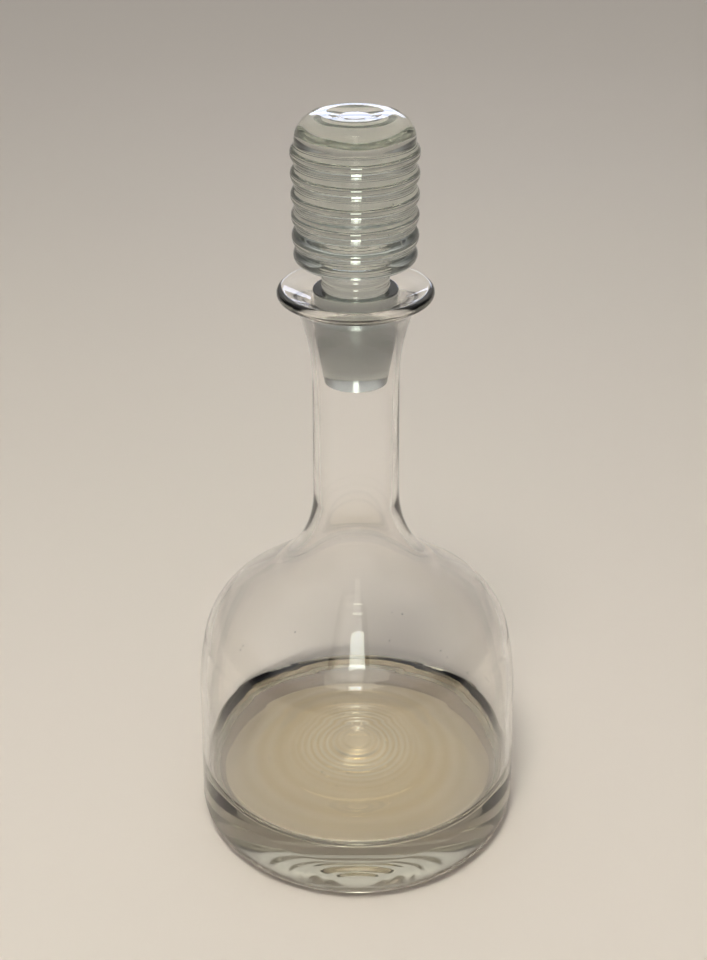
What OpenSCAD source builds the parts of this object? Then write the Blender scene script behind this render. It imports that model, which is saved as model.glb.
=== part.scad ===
// Glass wine decanter: a heavy-based blown bottle and the solid ribbed stopper
// that plugs its flared mouth. Millimetres, +Z up. The origin is the centre of
// the foot, on the surface the decanter stands on, and +Z is the axis of both
// pieces. Every outline below is a half section: x is the radius, y the height.

/* [Bottle body] */

// outside diameter of the body just above its heel, where it is widest
body_d = 124.6; // [118:0.2:132]
// outside diameter where the side starts to turn into the shoulder
side_top_d = 121; // [117:0.2:124]
// height of that turn above the table
side_top_h = 67; // [60:0.5:72]
// outside diameter at the corner between the side and the sloping shoulder
shoulder_d = 111.4; // [107:0.2:114]
// height of that corner above the table
shoulder_h = 88.6; // [84:0.2:92]
// radius of the long easy curve in the upper side
side_round = 125; // [90:1:132]
// outside radius of the shoulder's bend
shoulder_round = 24.8; // [20:0.2:26]
// radius that rounds the heel of the body down to the foot
heel_round = 8; // [5:0.5:12]
// glass thickness of the side and the shoulder
wall = 2.4; // [1.8:0.1:3]

/* [Base] */

// height of the inside floor above the table, next to the wall
floor_h = 22.5; // [14:0.5:26]
// how much higher the floor's broad middle is
floor_rise = 1.6; // [0.5:0.1:3]
// diameter of the small raised swirl in the centre of the floor
swirl_d = 25; // [18:0.5:32]
// height of that swirl over the floor around it
swirl_h = 2; // [0.8:0.1:3]
// inside radius between the floor and the wall
floor_round = 6.5; // [4:0.5:9]
// width of the flat ring that the bottle stands on
foot_w = 4; // [2:0.5:6]
// depth of the shallow hollow inside that ring
hollow_h = 0.4; // [0.2:0.1:3]

/* [Neck and lip] */

// outside diameter of the neck at its foot, at the corner with the shoulder
neck_base_d = 31.5; // [30:0.1:33]
// height of that corner above the table
neck_base_h = 119.2; // [116:0.2:122]
// radius of the outside sweep from the shoulder into the neck
neck_sweep = 41; // [30:0.5:46]
// radius of the same sweep on the inside, tighter, so the glass is thicker there
neck_sweep_in = 38; // [22:0.5:44]
// outside diameter of the neck where its flare starts
neck_top_d = 30; // [29:0.1:31]
// height of that corner above the table
neck_top_h = 196.5; // [193:0.2:199]
// radius of the long curve into the flare
flare_round = 68; // [40:1:72]
// outside diameter under the lip, where the flare turns out
lip_root_d = 41; // [39:0.1:42]
// radius of that turn
lip_root_round = 7.5; // [4:0.1:8]
// largest diameter of the lip
lip_d = 52.8; // [51:0.1:56]
// radius of the lip's rounded rim
rim_round = 1.85; // [1.4:0.05:2.4]
// height of the top of the lip above the table
mouth_h = 218.2; // [217:0.1:221]
// radius of the rounded inside edge between the mouth's funnel and the seat
throat_round = 2.5; // [1.5:0.1:4]

/* [Stopper plug] */

// diameter of the plug's top edge
plug_top_d = 28.9; // [28:0.1:29.6]
// diameter of the plug's flat end
plug_end_d = 21.3; // [19:0.1:23]
// length of the plug from its top edge to its flat end
plug_len = 33.6; // [28:0.1:38]
// how far the plug's top edge sits below the top of the lip
plug_drop = 0.6; // [0.3:0.1:1.5]
// gap all round between the plug and the ground seat
seat_gap = 0.05; // [0.03:0.01:0.12]
// how much the ground seat narrows, on the radius, on its way down to the bore
seat_narrowing = 1.4; // [1:0.1:2]
// small radius on the plug's two edges
plug_edge = 0.6; // [0.3:0.1:1]

/* [Stopper waist] */

// height of the waist between the plug and the head
waist_h = 9.3; // [8.8:0.1:12]
// diameter of the waist over its rings
waist_d = 23; // [20:0.1:25]
// number of soft rings round the waist
waist_rings = 3; // [2:1:3]
// height of one waist ring
waist_pitch = 2.4; // [2:0.1:2.5]
// depth of the dips between the waist rings
waist_dip = 0.4; // [0.2:0.05:0.6]

/* [Stopper head] */

// diameter of the head over its ribs
head_d = 41.9; // [40:0.1:44]
// depth of the grooves between the ribs
rib_depth = 1.45; // [1:0.05:1.8]
// height of one rib
rib_pitch = 6.86; // [6:0.02:8]
// number of full ribs between the head's two rounded ends
rib_count = 5; // [3:1:7]
// radius at the bottom of each groove
groove_round = 1.25; // [0.6:0.05:1.6]
// diameter of the lobe round the head's underside
under_d = 41; // [39.6:0.1:42]
// radius of that lobe
under_round = 2.8; // [2:0.1:3.4]
// height of the plain band under the head's top shoulder
crown_band = 0.8; // [0:0.1:3]
// radius of the head's top shoulder
crown_round = 8.2; // [5:0.1:9]
// diameter of the shallow dish in the top
dish_d = 18.5; // [12:0.5:20]
// depth of that dish
dish_h = 0.9; // [0.4:0.1:1.4]

/* [Hidden] */

$fn = 180;

// largest distance between an arc and the chords that draw it
chord_error = 0.01;

glass_tint = [0.84, 0.87, 0.84, 0.4];
stopper_tint = [0.78, 0.83, 0.8, 0.6];

// ---- outline helpers -------------------------------------------------------

// unit vector from point a towards point b
function way(a, b) = (b - a) / norm(b - a);

// an angle brought into the range -180 to 180
function half_turn(a) = a > 180 ? a - 360 : a < -180 ? a + 360 : a;

// points of the arc about centre c from angle a0 to angle a1
function arc(c, r, a0, a1) =
    let (step = 2 * acos(1 - chord_error / r),
         n = max(2, ceil(abs(a1 - a0) / step)))
    [for (i = [0:n]) c + r * [cos(a0 + (a1 - a0) * i / n), sin(a0 + (a1 - a0) * i / n)]];

// the arc of radius r that rounds corner b on the way from a to c
function corner(a, b, c, r) =
    let (u = way(b, a),
         v = way(b, c),
         half = acos(u * v) / 2,
         middle = b + (u + v) / norm(u + v) * r / sin(half),
         from = b + u * r / tan(half) - middle,
         to = b + v * r / tan(half) - middle,
         a0 = atan2(from.y, from.x),
         a1 = a0 + half_turn(atan2(to.y, to.x) - a0))
    arc(middle, r, a0, a1);

// how much of each side the arc of radius r takes at corner b
function taken(a, b, c, r) = r / tan(acos(way(b, a) * way(b, c)) / 2);

// a path of [point, radius] stops, each inner stop rounded by its radius; where
// a side is too short for the arcs at its two ends, both shrink until it fits
function rounded(path) =
    let (last = len(path) - 1,
         used = [for (i = [0:last])
             i == 0 || i == last
                 ? 0
                 : taken(path[i - 1][0], path[i][0], path[i + 1][0], path[i][1])],
         fit = [for (i = [1:last])
             let (side = norm(path[i][0] - path[i - 1][0]))
             used[i - 1] + used[i] > side ? side / (used[i - 1] + used[i]) : 1])
    [for (i = [0:last])
        each used[i] == 0
            ? [path[i][0]]
            : corner(path[i - 1][0], path[i][0], path[i + 1][0],
                     path[i][1] * min(fit[i - 1], fit[i]))];

// the corner b of a path a-b-c moved to its left-hand side by t
function inset(a, b, c, t) =
    let (u = way(a, b),
         v = way(b, c),
         n = [-u.y - v.y, u.x + v.x])
    b + n * t / (1 + u * v);

// the same points without repeats
function single(points) =
    [for (i = [0:len(points) - 1])
        if (i == 0 || norm(points[i] - points[i - 1]) > 0.001) points[i]];

// where a ring outline's crest and groove arcs meet: the sum of their radii
function ring_reach(depth, pitch) = (depth * depth + pitch * pitch / 4) / (2 * depth);

// count rings up the wall from the groove at height z0, crests at radius r
function rings(r, z0, pitch, count, depth, groove) =
    let (reach = ring_reach(depth, pitch),
         crest = reach - groove,
         turn = asin(pitch / 2 / reach))
    [for (i = [0:count - 1])
        let (z = z0 + i * pitch)
        each concat(
            arc([r - depth + groove, z], groove, 180, 180 - turn),
            arc([r - crest, z + pitch / 2], crest, -turn, turn),
            arc([r - depth + groove, z + pitch], groove, 180 + turn, 180))];

// ---- levels and lines that the two pieces share ----------------------------

plug_top_z = mouth_h - plug_drop;
plug_end_z = plug_top_z - plug_len;

// how fast the plug and the seat widen: radius per height
taper = (plug_top_d - plug_end_d) / 2 / plug_len;

// radius of the ground seat at height z
function seat_r(z) = plug_top_d / 2 + seat_gap - taper * (plug_top_z - z);

// height at which the ground seat has radius r
function seat_z(r) = plug_top_z - (plug_top_d / 2 + seat_gap - r) / taper;

// ---- bottle ----------------------------------------------------------------

// the outside corners, from the heel up to the lip
heel = [body_d / 2, 0];
side_top = [side_top_d / 2, side_top_h];
shoulder = [shoulder_d / 2, shoulder_h];
neck_base = [neck_base_d / 2, neck_base_h];
neck_top = [neck_top_d / 2, neck_top_h];

// the rim is a round bead; its underside and the funnel leave it on tangents
rim = [lip_d / 2 - rim_round, mouth_h - rim_round];
rim_under = -70;
rim_inner = 115;
rim_turns = [rim_under, 0, 90, rim_inner];
rim_from = rim + rim_round * [cos(rim_under), sin(rim_under)];
rim_to = rim + rim_round * [cos(rim_inner), sin(rim_inner)];
lip_root = [lip_root_d / 2,
            rim_from.y - (rim_from.x - lip_root_d / 2) / tan(-rim_under)];

// the funnel's straight slope meets the line of the ground seat at the throat
funnel_slope = tan(rim_inner - 90);
throat_r = (seat_r(rim_to.y) - taper * rim_to.x * funnel_slope) / (1 - taper * funnel_slope);
throat = [throat_r, rim_to.y - (rim_to.x - throat_r) * funnel_slope];

// the inside corners, from the throat down to the floor
bore_r = plug_top_d / 2 + seat_gap - seat_narrowing;
seat_foot = [bore_r, seat_z(bore_r)];
shoulder_in = inset(side_top, shoulder, neck_base, wall);
side_top_in = inset(heel, side_top, shoulder, wall);
shoulder_slope = (neck_base_h - shoulder_h) / (shoulder_d - neck_base_d) * 2;
neck_base_in = [bore_r, shoulder_in.y + (shoulder_in.x - bore_r) * shoulder_slope];
side_lean = (body_d - side_top_d) / 2 / side_top_h;
floor_corner = [side_top_in.x + (side_top_in.y - floor_h) * side_lean, floor_h];

// the floor's middle, its swirl and the hollow underneath
swirl_foot = [swirl_d / 2, floor_h + floor_rise];
swirl_flat = 0.4; // share of the swirl's radius that its flat top takes
swirl_top = [swirl_foot.x * swirl_flat, swirl_foot.y + swirl_h];
swirl_round = 5;
foot_out_r = body_d / 2 - heel_round;
foot_in = [foot_out_r - foot_w, 0];
foot_edge = 1.5;
hollow_flat = 0.55; // share of the hollow's radius that its flat middle takes
hollow_edge = [foot_in.x * hollow_flat, hollow_h];
hollow_round = 150;

// half section of the bottle, once round it anticlockwise
bottle_outside = rounded([
    [[0, hollow_h], 0],
    [hollow_edge, hollow_round],
    [foot_in, foot_edge],
    [heel, heel_round],
    [side_top, side_round],
    [shoulder, shoulder_round],
    [neck_base, neck_sweep],
    [neck_top, flare_round],
    [lip_root, lip_root_round],
    [rim_from, 0]]);
bottle_inside = rounded([
    [rim_to, 0],
    [throat, throat_round],
    [seat_foot, 0],
    [neck_base_in, neck_sweep_in],
    [shoulder_in, shoulder_round - wall],
    [side_top_in, side_round - wall],
    [floor_corner, floor_round],
    [swirl_foot, swirl_round],
    [swirl_top, swirl_round],
    [[0, swirl_top.y], 0]]);
bottle_section = single(concat(
    bottle_outside,
    [for (i = [1:3]) each arc(rim, rim_round, rim_turns[i - 1], rim_turns[i])],
    bottle_inside));

module bottle() {
    color(glass_tint)
        rotate_extrude() polygon(bottle_section);
}

// ---- stopper ---------------------------------------------------------------

// the waist's rings start on the plug's top face
waist_r = waist_d / 2;
waist_root_r = waist_r - waist_dip;
waist_groove = 0.6;
waist_step = 0.2;
waist_cove = 1.5;

// the head: an underside lobe, the full ribs, a plain band and the crown
under_z = plug_top_z + waist_h;
groove_r = head_d / 2 - rib_depth;
under_lobe = [under_d / 2 - under_round, under_z + under_round];
lobe_out = groove_r + groove_round - under_lobe.x;
lobe_rise = sqrt(pow(under_round + groove_round, 2) - lobe_out * lobe_out);
lobe_turn = atan2(lobe_rise, lobe_out);
first_groove_z = under_lobe.y + lobe_rise;
last_groove_z = first_groove_z + rib_count * rib_pitch;
crown = [groove_r - crown_round, last_groove_z + crown_band];
top_z = crown.y + crown_round;
dish_flat = 0.5; // share of the dish's radius that its flat bottom takes
dish_edge = 3;

// half section of the stopper, anticlockwise from the middle of the plug's end
plug_outline = rounded([
    [[0, plug_end_z], 0],
    [[plug_end_d / 2, plug_end_z], plug_edge],
    [[plug_top_d / 2, plug_top_z], plug_edge],
    [[waist_root_r, plug_top_z], 0]]);
waist_outline = rings(waist_r, plug_top_z + waist_step, waist_pitch, waist_rings,
                      waist_dip, waist_groove);
waist_to_head = rounded([
    [[waist_root_r, plug_top_z + waist_step + waist_rings * waist_pitch], 0],
    [[waist_root_r, under_z], waist_cove],
    [[under_lobe.x, under_z], 0]]);
head_outline = concat(
    arc(under_lobe, under_round, -90, lobe_turn),
    arc([groove_r + groove_round, first_groove_z], groove_round, 180 + lobe_turn, 180),
    rings(head_d / 2, first_groove_z, rib_pitch, rib_count, rib_depth, groove_round),
    arc(crown, crown_round, 0, 90));
dish_outline = rounded([
    [[crown.x, top_z], 0],
    [[dish_d / 2, top_z], dish_edge],
    [[dish_d / 2 * dish_flat, top_z - dish_h], dish_edge],
    [[0, top_z - dish_h], 0]]);
stopper_section = single(concat(
    plug_outline,
    waist_outline,
    waist_to_head,
    head_outline,
    dish_outline));

module stopper() {
    color(stopper_tint)
        rotate_extrude() polygon(stopper_section);
}

bottle();
stopper();
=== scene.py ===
"""Looks for the glass wine decanter: a blown bottle and its solid ribbed stopper.

Both pieces are turned on a lathe from the same half sections as the CAD model,
fine enough for clear refraction, with the small waves, rings and seeds of
hand-worked glass. Lengths are metres, x is a radius and y a height in a section.
"""

import math
import random

import bmesh
import bpy
import numpy as np
from mathutils import Matrix, Vector


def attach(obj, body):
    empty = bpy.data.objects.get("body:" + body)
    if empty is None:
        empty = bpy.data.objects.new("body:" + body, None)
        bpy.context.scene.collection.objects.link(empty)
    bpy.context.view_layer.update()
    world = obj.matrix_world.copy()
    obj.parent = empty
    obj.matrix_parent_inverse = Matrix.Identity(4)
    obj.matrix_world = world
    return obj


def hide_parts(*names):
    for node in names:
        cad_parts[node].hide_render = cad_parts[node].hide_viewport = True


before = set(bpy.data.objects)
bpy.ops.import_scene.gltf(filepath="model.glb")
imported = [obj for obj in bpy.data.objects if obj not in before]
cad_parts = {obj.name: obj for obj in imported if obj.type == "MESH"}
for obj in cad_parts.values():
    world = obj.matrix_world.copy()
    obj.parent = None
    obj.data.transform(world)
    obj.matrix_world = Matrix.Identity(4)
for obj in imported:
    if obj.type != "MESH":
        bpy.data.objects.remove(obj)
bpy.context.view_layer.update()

# ---- camera ------------------------------------------------------------------

CAMERA_AT = (-0.001, -0.4344, 0.3857)
CAMERA_DOWN = 29.07  # degrees below the horizon
CAMERA_ROLL = -0.26  # degrees, the photograph's slight lean
CAMERA_LENS = 52.0  # mm, on a picture PICTURE_TALL mm tall
PICTURE_TALL = 36
CAMERA_NEAR, CAMERA_FAR = 0.01, 50

# ---- sizes -------------------------------------------------------------------

BODY_D = 0.1246
SIDE_TOP_D, SIDE_TOP_H = 0.121, 0.067
SHOULDER_D, SHOULDER_H = 0.1114, 0.0886
SIDE_ROUND, SHOULDER_ROUND, HEEL_ROUND = 0.125, 0.0248, 0.008
WALL = 0.0024
FLOOR_H, FLOOR_RISE, FLOOR_ROUND = 0.0225, 0.0016, 0.0065
SWIRL_D, SWIRL_H, SWIRL_FLAT, SWIRL_ROUND = 0.025, 0.002, 0.4, 0.005
FOOT_W, FOOT_EDGE = 0.004, 0.0015
HOLLOW_H, HOLLOW_FLAT, HOLLOW_ROUND = 0.0004, 0.55, 0.15
NECK_BASE_D, NECK_BASE_H = 0.0315, 0.1192
NECK_SWEEP, NECK_SWEEP_IN = 0.041, 0.038
NECK_TOP_D, NECK_TOP_H, FLARE_ROUND = 0.030, 0.1965, 0.068
LIP_ROOT_D, LIP_ROOT_ROUND = 0.041, 0.0075
LIP_D, RIM_ROUND, MOUTH_H, THROAT_ROUND = 0.0528, 0.00185, 0.2182, 0.0025
RIM_UNDER, RIM_INNER = -70, 115

PLUG_TOP_D, PLUG_END_D, PLUG_LEN = 0.0289, 0.0213, 0.0336
PLUG_DROP, SEAT_GAP, PLUG_EDGE = 0.0006, 0.00005, 0.0006
SEAT_NARROWING = 0.0014
WAIST_H, WAIST_D, WAIST_RINGS, WAIST_PITCH = 0.0093, 0.023, 3, 0.0024
WAIST_DIP, WAIST_GROOVE, WAIST_STEP, WAIST_COVE = 0.0004, 0.0006, 0.0002, 0.0015
HEAD_D, RIB_DEPTH, RIB_PITCH, RIB_COUNT = 0.0419, 0.00145, 0.00686, 5
GROOVE_ROUND = 0.00125
UNDER_D, UNDER_ROUND = 0.041, 0.0028
CROWN_BAND, CROWN_ROUND = 0.0008, 0.0082
DISH_D, DISH_H, DISH_FLAT, DISH_EDGE = 0.0185, 0.0009, 0.5, 0.003

# ---- lathe work --------------------------------------------------------------

AROUND = 224  # segments round each piece
CHORD_ERROR = 0.0000034  # how far a step may leave its arc
LONGEST_STEP = 0.0035  # on straight runs of the outline
FLOOR_STEP = 0.0009  # the same where the floor has its rings
SAME_POINT = 1e-7


def way(a, b):
    """Unit vector from a to b."""
    d = (b[0] - a[0], b[1] - a[1])
    n = math.hypot(*d)
    return (d[0] / n, d[1] / n)


def arc(c, r, a0, a1):
    """Points of the arc about c from angle a0 to a1, in degrees."""
    step = 2 * math.degrees(math.acos(1 - CHORD_ERROR / r))
    n = max(3, math.ceil(abs(a1 - a0) / step))
    turns = [math.radians(a0 + (a1 - a0) * i / n) for i in range(n + 1)]
    return [(c[0] + r * math.cos(t), c[1] + r * math.sin(t)) for t in turns]


def corner(a, b, c, r):
    """The arc of radius r that rounds corner b on the way from a to c."""
    u, v = way(b, a), way(b, c)
    half = math.acos(u[0] * v[0] + u[1] * v[1]) / 2
    s = math.hypot(u[0] + v[0], u[1] + v[1])
    k = r / math.sin(half) / s
    mid = (b[0] + (u[0] + v[0]) * k, b[1] + (u[1] + v[1]) * k)
    t = r / math.tan(half)
    a0 = math.degrees(math.atan2(b[1] + u[1] * t - mid[1], b[0] + u[0] * t - mid[0]))
    a1 = math.degrees(math.atan2(b[1] + v[1] * t - mid[1], b[0] + v[0] * t - mid[0]))
    return arc(mid, r, a0, a0 + (a1 - a0 + 180) % 360 - 180)


def rounded(path):
    """A path of (point, radius) stops, each inner stop rounded by its radius."""
    points = []
    for i, (stop, radius) in enumerate(path):
        if i in (0, len(path) - 1) or radius == 0:
            points.append(stop)
        else:
            points += corner(path[i - 1][0], stop, path[i + 1][0], radius)
    return points


def inset(a, b, c, t):
    """Corner b of the path a-b-c moved to its left-hand side by t."""
    u, v = way(a, b), way(b, c)
    k = t / (1 + u[0] * v[0] + u[1] * v[1])
    return (b[0] + (-u[1] - v[1]) * k, b[1] + (u[0] + v[0]) * k)


def rings(r, z0, pitch, count, depth, groove):
    """Count rings up the wall from the groove at height z0, crests at radius r."""
    reach = (depth * depth + pitch * pitch / 4) / (2 * depth)
    crest = reach - groove
    turn = math.degrees(math.asin(pitch / 2 / reach))
    points = []
    for i in range(count):
        z = z0 + i * pitch
        points += arc((r - depth + groove, z), groove, 180, 180 - turn)
        points += arc((r - crest, z + pitch / 2), crest, -turn, turn)
        points += arc((r - depth + groove, z + pitch), groove, 180 + turn, 180)
    return points


def stations(points):
    """The outline without repeats and without long steps, and finer on the floor."""
    out = [points[0]]
    for p in points[1:]:
        far = math.dist(p, out[-1])
        if far < SAME_POINT:
            continue
        a = out[-1]
        both = on_floor(*np.array([a, p]).T).all()
        n = math.ceil(far / (FLOOR_STEP if both else LONGEST_STEP))
        out += [(a[0] + (p[0] - a[0]) * k / n, a[1] + (p[1] - a[1]) * k / n)
                for k in range(1, n + 1)]
    return np.array(out)


def ball():
    """Points and faces of a unit ball whose faces look inwards, for air in glass."""
    shape = bmesh.new()
    bmesh.ops.create_icosphere(shape, subdivisions=2, radius=1)
    points = np.array([v.co[:] for v in shape.verts])
    faces = [[v.index for v in reversed(f.verts)] for f in shape.faces]
    shape.free()
    return points, faces


def lathe(name, section, wave, ground, tint, seeds):
    """A closed mesh turned from a half section that starts and ends on the axis.

    wave(r, z, angle) gives how far each point is pushed out and up, ground(r, z)
    how matt it is from 0 to 1, tint(r, z, angle) the colour of light that crosses it,
    and seeds lists the bubbles inside as x, y, z, radius and stretch."""
    line = stations(section)
    turn = np.arange(AROUND) * 2 * math.pi / AROUND
    r, z = line[:, :1], line[:, 1:]
    out, up = wave(r, z, turn[None, :])
    rad = np.maximum(r + out, 0)
    place = np.stack([rad * np.cos(turn), rad * np.sin(turn), z + up + 0 * turn],
                     axis=-1)
    along = np.gradient(place, axis=0)
    across = np.roll(place, -1, axis=1) - np.roll(place, 1, axis=1)
    normal = np.cross(across, along)
    normal /= np.maximum(np.linalg.norm(normal, axis=-1, keepdims=True), 1e-12)
    verts = np.concatenate([place[:1, 0], place[1:-1].reshape(-1, 3), place[-1:, 0]])
    normals = np.concatenate([[(0, 0, -1)], normal[1:-1].reshape(-1, 3), [(0, 0, 1)]])
    matt = np.repeat(ground(r[1:-1, 0], z[1:-1, 0]), AROUND)
    tints = tint(r, z, turn[None, :]).reshape(-1, 4)[AROUND - 1:1 - AROUND]
    matt = np.concatenate([[0], matt, [0]])
    ring = [range(1 + i * AROUND, 1 + (i + 1) * AROUND) for i in range(len(line) - 2)]
    faces = []
    for j in range(AROUND):
        k = (j + 1) % AROUND
        faces.append((0, ring[0][k], ring[0][j]))
        faces += [(a[j], a[k], b[k], b[j]) for a, b in zip(ring, ring[1:])]
        faces.append((ring[-1][j], ring[-1][k], len(verts) - 1))
    points, sides = ball()
    for x, y, h, size, stretch in seeds:
        base = len(verts)
        verts = np.concatenate([verts, points * (size, size * stretch, size) + (x, y, h)])
        normals = np.concatenate([normals, -points])
        matt = np.concatenate([matt, np.zeros(len(points))])
        tints = np.concatenate([tints, np.ones((len(points), 4))])
        faces += [[base + i for i in side] for side in sides]
    mesh = bpy.data.meshes.new(name)
    mesh.from_pydata(verts.tolist(), [], faces)
    mesh.polygons.foreach_set("use_smooth", [True] * len(mesh.polygons))
    mesh.attributes.new("ground", "FLOAT", "POINT").data.foreach_set("value", matt)
    mesh.attributes.new("tint", "FLOAT_COLOR", "POINT").data.foreach_set("color", tints.ravel())
    mesh.normals_split_custom_set_from_vertices(normals.tolist())
    obj = bpy.data.objects.new(name, mesh)
    bpy.context.collection.objects.link(obj)
    return obj


# ---- the two half sections ---------------------------------------------------

plug_top_z = MOUTH_H - PLUG_DROP
plug_end_z = plug_top_z - PLUG_LEN
taper = (PLUG_TOP_D - PLUG_END_D) / 2 / PLUG_LEN


def seat_r(z):
    """Radius of the ground seat at height z."""
    return PLUG_TOP_D / 2 + SEAT_GAP - taper * (plug_top_z - z)


def bottle_section():
    """Half section of the bottle, from the middle of its underside round."""
    heel = (BODY_D / 2, 0)
    side_top = (SIDE_TOP_D / 2, SIDE_TOP_H)
    shoulder = (SHOULDER_D / 2, SHOULDER_H)
    neck_base = (NECK_BASE_D / 2, NECK_BASE_H)
    neck_top = (NECK_TOP_D / 2, NECK_TOP_H)
    rim = (LIP_D / 2 - RIM_ROUND, MOUTH_H - RIM_ROUND)
    bead = arc(rim, RIM_ROUND, RIM_UNDER, RIM_INNER)
    root_r = LIP_ROOT_D / 2
    lip_root = (root_r, bead[0][1] - (bead[0][0] - root_r)
                / math.tan(math.radians(-RIM_UNDER)))

    slope = math.tan(math.radians(RIM_INNER - 90))
    inner = bead[-1]
    throat_r = (seat_r(inner[1]) - taper * inner[0] * slope) / (1 - taper * slope)
    throat = (throat_r, inner[1] - (inner[0] - throat_r) * slope)
    bore = PLUG_TOP_D / 2 + SEAT_GAP - SEAT_NARROWING
    seat_foot = (bore, plug_top_z - SEAT_NARROWING / taper)
    shoulder_in = inset(side_top, shoulder, neck_base, WALL)
    side_top_in = inset(heel, side_top, shoulder, WALL)
    fall = (NECK_BASE_H - SHOULDER_H) / (SHOULDER_D - NECK_BASE_D) * 2
    neck_base_in = (bore, shoulder_in[1] + (shoulder_in[0] - bore) * fall)
    lean = (BODY_D - SIDE_TOP_D) / 2 / SIDE_TOP_H
    floor_corner = (side_top_in[0] + (side_top_in[1] - FLOOR_H) * lean, FLOOR_H)
    swirl_foot = (SWIRL_D / 2, FLOOR_H + FLOOR_RISE)
    swirl_top = (SWIRL_D / 2 * SWIRL_FLAT, swirl_foot[1] + SWIRL_H)
    foot_in = (BODY_D / 2 - HEEL_ROUND - FOOT_W, 0)

    outside = rounded([
        ((0, HOLLOW_H), 0),
        ((foot_in[0] * HOLLOW_FLAT, HOLLOW_H), HOLLOW_ROUND),
        (foot_in, FOOT_EDGE),
        (heel, HEEL_ROUND),
        (side_top, SIDE_ROUND),
        (shoulder, SHOULDER_ROUND),
        (neck_base, NECK_SWEEP),
        (neck_top, FLARE_ROUND),
        (lip_root, LIP_ROOT_ROUND),
        (bead[0], 0)])
    inside = rounded([
        (inner, 0),
        (throat, THROAT_ROUND),
        (seat_foot, 0),
        (neck_base_in, NECK_SWEEP_IN),
        (shoulder_in, SHOULDER_ROUND - WALL),
        (side_top_in, SIDE_ROUND - WALL),
        (floor_corner, FLOOR_ROUND),
        (swirl_foot, SWIRL_ROUND),
        (swirl_top, SWIRL_ROUND),
        ((0, swirl_top[1]), 0)])
    return outside + bead + inside


def stopper_section():
    """Half section of the stopper, from the middle of the plug's end round."""
    waist_root = WAIST_D / 2 - WAIST_DIP
    under_z = plug_top_z + WAIST_H
    groove_r = HEAD_D / 2 - RIB_DEPTH
    lobe = (UNDER_D / 2 - UNDER_ROUND, under_z + UNDER_ROUND)
    lobe_out = groove_r + GROOVE_ROUND - lobe[0]
    lobe_rise = math.sqrt((UNDER_ROUND + GROOVE_ROUND) ** 2 - lobe_out ** 2)
    lobe_turn = math.degrees(math.atan2(lobe_rise, lobe_out))
    first_groove = lobe[1] + lobe_rise
    crown = (groove_r - CROWN_ROUND,
             first_groove + RIB_COUNT * RIB_PITCH + CROWN_BAND)
    top_z = crown[1] + CROWN_ROUND
    waist_top = plug_top_z + WAIST_STEP + WAIST_RINGS * WAIST_PITCH
    plug = rounded([
        ((0, plug_end_z), 0),
        ((PLUG_END_D / 2, plug_end_z), PLUG_EDGE),
        ((PLUG_TOP_D / 2, plug_top_z), PLUG_EDGE),
        ((waist_root, plug_top_z), 0)])
    waist = rings(WAIST_D / 2, plug_top_z + WAIST_STEP, WAIST_PITCH, WAIST_RINGS,
                  WAIST_DIP, WAIST_GROOVE)
    waist_to_head = rounded([
        ((waist_root, waist_top), 0),
        ((waist_root, under_z), WAIST_COVE),
        ((lobe[0], under_z), 0)])
    head = (arc(lobe, UNDER_ROUND, -90, lobe_turn)
            + arc((groove_r + GROOVE_ROUND, first_groove), GROOVE_ROUND,
                  180 + lobe_turn, 180)
            + rings(HEAD_D / 2, first_groove, RIB_PITCH, RIB_COUNT, RIB_DEPTH,
                    GROOVE_ROUND)
            + arc(crown, CROWN_ROUND, 0, 90))
    dish = rounded([
        ((crown[0], top_z), 0),
        ((DISH_D / 2, top_z), DISH_EDGE),
        ((DISH_D / 2 * DISH_FLAT, top_z - DISH_H), DISH_EDGE),
        ((0, top_z - DISH_H), 0)])
    return plug + waist + waist_to_head + head + dish


# ---- the small irregularities ------------------------------------------------

# rings on the floor: radius, height and width of each
FLOOR_RINGS = ((0.0085, 0.00030, 0.0010), (0.0128, 0.00032, 0.0010),
               (0.0165, 0.00030, 0.0011), (0.021, 0.00022, 0.0014),
               (0.034, 0.00045, 0.0026))
FLOOR_LOW, FLOOR_HIGH = 0.016, 0.0315  # heights that hold the inside floor
FLOOR_REACH = 0.057
FLOOR_SWAY = 0.00012  # slow rise and fall at the floor's rim
WALL_WAVE = 0.00006
WALL_LOW, WALL_HIGH, WALL_FADE = 0.030, 0.19, 0.02  # heights between which the wall waves
HEAD_LOW, HEAD_FADE = 0.228, 0.004  # from where the stopper's head is out of round
HEAD_WAVE = 0.00004


def on_floor(r, z):
    """1 on the inside floor, 0 elsewhere."""
    return ((r < FLOOR_REACH) & (z > FLOOR_LOW) & (z < FLOOR_HIGH)).astype(float)


def bottle_wave(r, z, turn):
    """Rings left by the tool on the floor, and the slow waves of a blown wall."""
    off_centre = r * (1 + 0.025 * np.cos(turn - 0.9) + 0.012 * np.sin(3 * turn))
    up = 0 * off_centre
    for at, high, wide in FLOOR_RINGS:
        up = up + high * np.exp(-((off_centre - at) / wide) ** 2)
    up = up + FLOOR_SWAY * np.sin(2 * turn + 0.7 + r * 90) * (r / FLOOR_REACH) ** 2
    wall = (np.clip((z - WALL_LOW) / WALL_FADE, 0, 1)
            * np.clip((WALL_HIGH - z) / WALL_FADE, 0, 1))
    out = -WALL_WAVE * wall * (2 + np.sin(2 * turn + 45 * z) + np.sin(5 * turn - 70 * z))
    return out, up * on_floor(r, z)


def stopper_wave(r, z, turn):
    """The moulded head is very slightly out of round; the plug is ground true."""
    head = np.clip((z - HEAD_LOW) / HEAD_FADE, 0, 1)
    out = -HEAD_WAVE * head * (2 + np.sin(3 * turn + 60 * z) + np.sin(7 * turn - 90 * z))
    return out, 0 * out


# ---- matt places and tints ---------------------------------------------------

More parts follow.
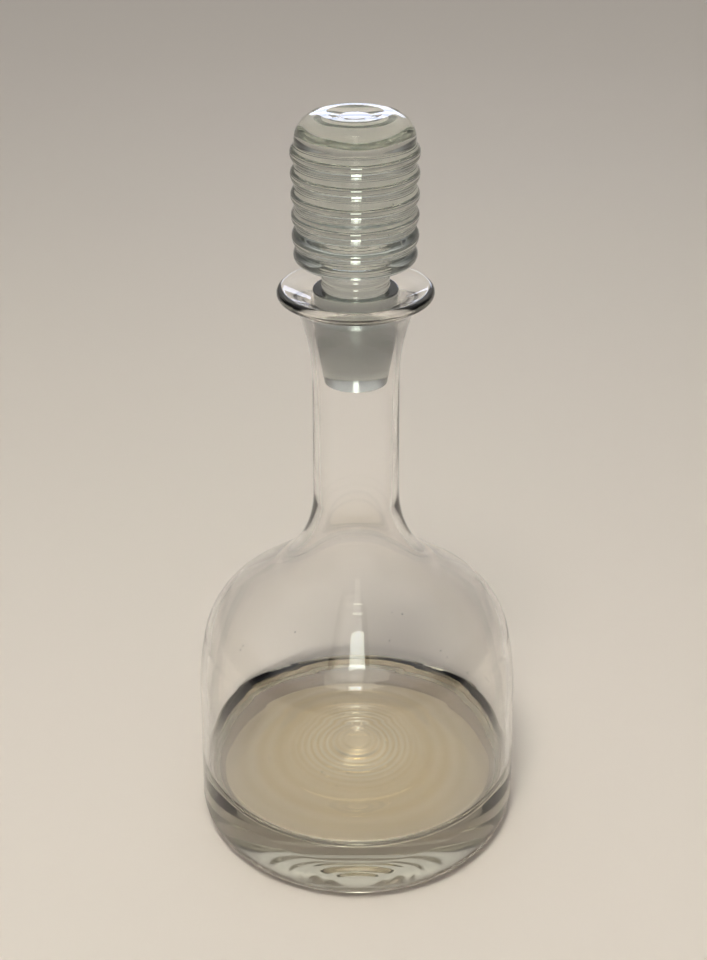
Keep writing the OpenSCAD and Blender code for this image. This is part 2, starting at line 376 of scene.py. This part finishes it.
SEAT_REACH, SEAT_LOW, SEAT_HIGH = 0.0142, 0.2052, 0.2125  # what holds the ground seat
PLUG_REACH, END_BAND, TOP_BAND = 0.0106, 0.0012, 0.0008  # what the plug keeps clear
HEEL_TOP, FOOT_REACH = 0.009, 0.050  # what the table wears matt; below HEEL_TOP the heel also gets painted contact shade
WORN = 0.7  # how matt the worn foot and heel are
STRAW = (0.97, 0.875, 0.69)  # painted caustic light and shade on the inside floor
HEEL_SHADE = (0.58, 0.55, 0.57)  # painted contact shade on the heel
GREY = (0.60, 0.62, 0.62)  # light that crosses the ground sides of the plug
POOL, FINE, RIPPLE, DEEPER = 0.45, 0.65, 0.20, 0.10  # shares of the painted caustic light and shade on the floor


def bottle_ground(r, z):
    """The ground seat inside the mouth, and the foot and heel worn by the table."""
    seat = (r < SEAT_REACH) & (z > SEAT_LOW) & (z < SEAT_HIGH)
    return seat + WORN * ((z < HEEL_TOP) & (r > FOOT_REACH))


def stopper_ground(r, z):
    """The ground sides of the plug."""
    sides = (r > PLUG_REACH) & (z > plug_end_z + END_BAND) & (z < plug_top_z - TOP_BAND)
    return sides.astype(float)


def clear(r, z, turn):
    """No tint anywhere."""
    return np.ones((len(r), turn.size, 4))


def painted_caustics(r, turn):
    """How strong the painted caustic light and shade on the floor is: a wide pool and fine rings
    round the swirl.
    """
    sway = r * (1 + 0.04 * np.cos(turn - 0.9) + 0.02 * np.sin(3 * turn + 1))
    pool = np.exp(-((sway - 0.030) / 0.009) ** 2) * (0.75 + 0.25 * np.sin(turn * 2 + 3.7))
    fine = np.sin(sway * 2600) * np.exp(-((sway - 0.015) / 0.008) ** 2)
    ripple = np.sin(sway * 900 + 2 * np.sin(turn)) * np.exp(-((sway - 0.036) / 0.012) ** 2)
    return 1 + POOL * pool + FINE * fine + RIPPLE * ripple


def bottle_tint(r, z, turn):
    """Painted caustic light and shade on the inside floor, and painted contact shade on the
    heel.
    """
    rgb = clear(r, z, turn)
    # Painted caustic light and shade: a straw tint with a pool and fine rings on the inside
    # floor
    part = (on_floor(r, z) * painted_caustics(r, turn))[..., None]
    straw = 1 - part * (1 - np.array(STRAW))
    rgb[..., :3] = np.clip(straw - DEEPER * (part - (part > 0)), 0, 1)
    # Painted contact shade: the heel arc is darkened
    rgb[((z < HEEL_TOP) & (r > BODY_D / 2 - HEEL_ROUND))[:, 0], :, :3] = HEEL_SHADE
    return rgb


def stopper_tint(r, z, turn):
    """The ground sides of the plug scatter light, so less comes through."""
    rgb = clear(r, z, turn)
    rgb[stopper_ground(r, z)[:, 0] > 0, :, :3] = GREY
    return rgb


def scatter(count, radii, heights, angles, sizes, pick):
    """Count seeds at random places in a ring of glass."""
    seeds = []
    for _ in range(count):
        r, t = pick.uniform(*radii), math.radians(pick.uniform(*angles))
        seeds.append((r * math.cos(t), r * math.sin(t), pick.uniform(*heights),
                      pick.uniform(*sizes), pick.uniform(0.9, 1.5)))
    return seeds


# ---- shader nodes ------------------------------------------------------------


def ramp(tree, source, start, end):
    """A smooth 0 to 1 while a value goes from start to end."""
    node = tree.nodes.new("ShaderNodeMapRange")
    node.interpolation_type = "SMOOTHSTEP"
    node.inputs["From Min"].default_value = start
    node.inputs["From Max"].default_value = end
    tree.links.new(source, node.inputs["Value"])
    return node.outputs[0]


def math_node(tree, operation, *values):
    """One Math node on sockets or plain numbers."""
    node = tree.nodes.new("ShaderNodeMath")
    node.operation = operation
    for socket, value in zip(node.inputs, values):
        if isinstance(value, (int, float)):
            socket.default_value = value
        else:
            tree.links.new(value, socket)
    return node.outputs[0]


def mixed(tree, factor, first, second):
    """A colour that goes from first to second, each a colour or a socket."""
    node = tree.nodes.new("ShaderNodeMix")
    node.data_type = "RGBA"
    tree.links.new(factor, node.inputs["Factor"])
    for name, value in (("A", first), ("B", second)):
        if isinstance(value, tuple):
            node.inputs[name].default_value = (*value, 1)
        else:
            tree.links.new(value, node.inputs[name])
    return node.outputs["Result"]


# ---- materials ---------------------------------------------------------------

GLASS_IOR = 1.5
GROUND_ROUGHNESS = 0.2
BOTTLE_HUE, BOTTLE_DENSITY = (0.80, 0.70, 0.10), 2.6
STOPPER_HUE, STOPPER_DENSITY = (0.16, 0.26, 0.10), 10
TABLE_COLOR = (0.70, 0.645, 0.575)


def glass(name, hue, density):
    """Clear glass whose colour comes from its thickness, matt where it is ground."""
    mat = bpy.data.materials.new(name)
    mat.use_nodes = True
    tree = mat.node_tree
    shader = tree.nodes["Principled BSDF"]
    shader.inputs["Transmission Weight"].default_value = 1
    shader.inputs["IOR"].default_value = GLASS_IOR
    tint = tree.nodes.new("ShaderNodeAttribute")
    tint.attribute_name = "tint"
    tree.links.new(tint.outputs["Color"], shader.inputs["Base Color"])
    ground = tree.nodes.new("ShaderNodeAttribute")
    ground.attribute_name = "ground"
    rough = math_node(tree, "MULTIPLY", ground.outputs["Fac"], GROUND_ROUGHNESS)
    tree.links.new(rough, shader.inputs["Roughness"])
    body = tree.nodes.new("ShaderNodeVolumeAbsorption")
    body.inputs["Color"].default_value = (*hue, 1)
    body.inputs["Density"].default_value = density
    tree.links.new(body.outputs[0], tree.nodes["Material Output"].inputs["Volume"])
    return mat


def table_top():
    """Pale warm matt table."""
    mat = bpy.data.materials.new("table_top")
    mat.use_nodes = True
    shader = mat.node_tree.nodes["Principled BSDF"]
    shader.inputs["Base Color"].default_value = (*TABLE_COLOR, 1)
    shader.inputs["Roughness"].default_value = 0.6
    shader.inputs["Specular IOR Level"].default_value = 0.2
    return mat


# ---- pieces ------------------------------------------------------------------


def dress(obj, material, body, node):
    """Gives a piece its material and body, and hides its CAD node."""
    obj.data.materials.append(material)
    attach(obj, body)
    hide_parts(node)


pick = random.Random(7)
base_seeds = scatter(16, radii=(0.01, 0.054), heights=(0.006, 0.020), angles=(0, 360),
                     sizes=(0.0001, 0.00028), pick=pick)
base_seeds += scatter(10, radii=(0.0595, 0.0605), heights=(0.03, 0.05), angles=(20, 160),
                      sizes=(0.0002, 0.0004), pick=pick)
head_seeds = scatter(26, radii=(0.012, 0.0186), heights=(0.232, 0.266), angles=(-70, 20),
                     sizes=(0.00012, 0.00030), pick=pick)
head_seeds += scatter(24, radii=(0.002, 0.0186), heights=(0.230, 0.268), angles=(0, 360),
                      sizes=(0.00010, 0.00022), pick=pick)
bottle = lathe("bottle_blown", bottle_section(), bottle_wave, bottle_ground,
               bottle_tint, base_seeds)
dress(bottle, glass("bottle_glass", BOTTLE_HUE, BOTTLE_DENSITY), "bottle", "bottle")
stopper = lathe("stopper_solid", stopper_section(), stopper_wave, stopper_ground,
                stopper_tint, head_seeds)
dress(stopper, glass("stopper_glass", STOPPER_HUE, STOPPER_DENSITY), "stopper", "stopper")

# ---- floor, lamps, world and camera ------------------------------------------

FLOOR_GAP = 0.00015  # keeps the table clear of the foot's own face
TABLE_RADIUS, TABLE_SIDES = 40.0, 96


def table():
    """The plain floor that the decanter stands on."""
    turns = [2 * math.pi * i / TABLE_SIDES for i in range(TABLE_SIDES)]
    rim = [(TABLE_RADIUS * math.cos(t), TABLE_RADIUS * math.sin(t), -FLOOR_GAP)
           for t in turns]
    mesh = bpy.data.meshes.new("table")
    mesh.from_pydata(rim, [], [tuple(range(TABLE_SIDES))])
    obj = bpy.data.objects.new("table", mesh)
    bpy.context.collection.objects.link(obj)
    obj.data.materials.append(table_top())


def aim(obj, at, towards):
    """Puts a light at a place, facing another, out of the camera's own sight."""
    obj.location = at
    obj.visible_camera = False
    obj.rotation_euler = (Vector(towards) - Vector(at)).to_track_quat("-Z", "Y").to_euler()
    bpy.context.collection.objects.link(obj)
    return obj


def lamp(name, at, towards, size, power, color):
    """A soft rectangular lamp that shows in the glass but lights no matt surface."""
    data = bpy.data.lights.new(name, "AREA")
    data.shape = "RECTANGLE"
    data.size, data.size_y = size
    data.energy = power
    data.color = color
    obj = aim(bpy.data.objects.new(name, data), at, towards)
    obj.visible_diffuse = False
    return obj


PANEL_SIDE = 0.55
PANEL_COLOR, PANEL_STRENGTH, PANEL_SEEN = (1.0, 0.965, 0.89), 33, 0.04
FOOT, NECK, HEAD = (0, 0, 0.1), (0, 0, 0.2), (0, 0, 0.25)  # what the lights face


def panel_light(color, strength, seen, side):
    """Glow of the main light, strongest in its middle.

    It is dimmer where the glass shows it: seen is that look as a share of what lights
    the table."""
    mat = bpy.data.materials.new("panel_light")
    mat.use_nodes = True
    mat.cycles.emission_sampling = "FRONT_BACK"
    tree = mat.node_tree
    tree.nodes.remove(tree.nodes["Principled BSDF"])
    glow = tree.nodes.new("ShaderNodeEmission")
    glow.inputs["Color"].default_value = (*color, 1)
    rays = tree.nodes.new("ShaderNodeLightPath").outputs
    sharp = math_node(tree, "MAXIMUM", rays["Is Glossy Ray"], rays["Is Transmission Ray"])
    early = math_node(tree, "LESS_THAN", rays["Diffuse Depth"], 0.5)
    dim = tree.nodes.new("ShaderNodeMapRange")
    dim.inputs["To Min"].default_value = strength
    dim.inputs["To Max"].default_value = strength * seen
    tree.links.new(math_node(tree, "MULTIPLY", sharp, early), dim.inputs["Value"])
    place = tree.nodes.new("ShaderNodeTexCoord")
    middle = tree.nodes.new("ShaderNodeVectorMath")
    middle.operation = "LENGTH"
    tree.links.new(place.outputs["Object"], middle.inputs[0])
    fade = ramp(tree, middle.outputs["Value"], side / 2, side / 5)
    level = math_node(tree, "MULTIPLY", dim.outputs[0], fade)
    tree.links.new(level, glow.inputs["Strength"])
    tree.links.new(glow.outputs[0], tree.nodes["Material Output"].inputs["Surface"])
    return mat


def panel(at, towards, side, material):
    """The main light: a square glowing sheet above and in front of the decanter."""
    mesh = bpy.data.meshes.new("panel")
    half = side / 2
    corners = [(-half, -half, 0), (half, -half, 0), (half, half, 0), (-half, half, 0)]
    mesh.from_pydata(corners, [], [(0, 3, 2, 1)])
    obj = aim(bpy.data.objects.new("panel", mesh), at, towards)
    obj.data.materials.append(material)


ROOM = (0.50, 0.49, 0.49)
HORIZON = (0.306, 0.279, 0.2505)  # as the far floor looks
ROOM_SIDES = (0.07, 0.067, 0.07)
ROOM_BACK = (0.85, 0.84, 0.80)
# where each tone begins and is full, as parts of a unit vector up, back or aside
HORIZON_FADE = (0.05, 0.35)
BACK_FADE, BACK_FOOT, BACK_TOP = (0.45, 0.75), (0.38, 0.48), (0.78, 0.62)
SIDES_FADE, SIDES_FOOT, SIDES_TOP = (0.35, 0.8), (0.04, 0.16), (0.7, 0.4)


def sky():
    """An even grey room, as dim as the far floor at the horizon.

    It is dark low down at both sides and light half way up at the back."""
    world = bpy.data.worlds.new("studio")
    world.use_nodes = True
    tree = world.node_tree
    place = tree.nodes.new("ShaderNodeTexCoord")
    split = tree.nodes.new("ShaderNodeSeparateXYZ")
    tree.links.new(place.outputs["Generated"], split.inputs[0])
    x, y, z = split.outputs["X"], split.outputs["Y"], split.outputs["Z"]
    room = mixed(tree, ramp(tree, z, *HORIZON_FADE), HORIZON, ROOM)
    half_way = math_node(tree, "MULTIPLY", ramp(tree, z, *BACK_FOOT), ramp(tree, z, *BACK_TOP))
    back = math_node(tree, "MULTIPLY", ramp(tree, y, *BACK_FADE), half_way)
    room = mixed(tree, back, room, ROOM_BACK)
    aside = ramp(tree, math_node(tree, "ABSOLUTE", x), *SIDES_FADE)
    low = math_node(tree, "MULTIPLY", ramp(tree, z, *SIDES_FOOT), ramp(tree, z, *SIDES_TOP))
    dark = math_node(tree, "MULTIPLY", aside, low)
    tree.links.new(mixed(tree, dark, room, ROOM_SIDES), tree.nodes["Background"].inputs["Color"])
    bpy.context.scene.world = world


def camera():
    """The photograph's viewpoint."""
    data = bpy.data.cameras.new("camera")
    data.lens = CAMERA_LENS
    data.sensor_width = PICTURE_TALL
    data.clip_start, data.clip_end = CAMERA_NEAR, CAMERA_FAR
    obj = bpy.data.objects.new("camera", data)
    tilt = Matrix.Rotation(math.radians(90 - CAMERA_DOWN), 4, "X")
    roll = Matrix.Rotation(math.radians(CAMERA_ROLL), 4, "Z")
    obj.matrix_world = Matrix.Translation(CAMERA_AT) @ tilt @ roll
    bpy.context.collection.objects.link(obj)
    bpy.context.scene.camera = obj


def lights():
    """The main panel, and the small lamps that only the glass shows."""
    warm = panel_light(PANEL_COLOR, PANEL_STRENGTH, PANEL_SEEN, PANEL_SIDE)
    panel((-0.12, -0.55, 1.28), FOOT, PANEL_SIDE, warm)
    lamp("spot", at=(0.0, -0.48, 1.25), towards=NECK,
         size=(0.20, 0.05), power=0.13, color=(0.93, 1.0, 0.90))
    mirrored = [
        lamp("strip", at=(0.0, -0.75, 1.08), towards=HEAD,
             size=(0.15, 0.75), power=0.5, color=(1.0, 0.99, 0.92)),
        lamp("window", at=(0.1, 1.6, 0.62), towards=HEAD,
             size=(0.9, 0.24), power=2.0, color=(0.74, 0.80, 1.0))]
    seen_through = [
        lamp("beyond", at=(0.0, 1.6, 0.62), towards=HEAD,
             size=(0.17, 0.80), power=0.7, color=(0.97, 1.0, 0.90)),
        lamp("slit", at=(0.0, 1.6, 0.66), towards=HEAD,
             size=(0.06, 0.34), power=0.3, color=(0.95, 0.98, 0.95))]
    for obj in mirrored:
        obj.visible_transmission = False
    for obj in seen_through:
        obj.visible_glossy = False


table()
sky()
lights()
camera()

scene = bpy.context.scene
scene.view_settings.view_transform = "Standard"
# light crosses many glass walls, and lights the table through them
scene.cycles.max_bounces = 24
scene.cycles.transmission_bounces = 20
scene.cycles.transparent_max_bounces = 24
scene.cycles.caustics_reflective = True
scene.cycles.caustics_refractive = True
scene.cycles.sample_clamp_indirect = 30
scene.cycles.blur_glossy = 0.35  # how soft the glass is to light on its way to the table
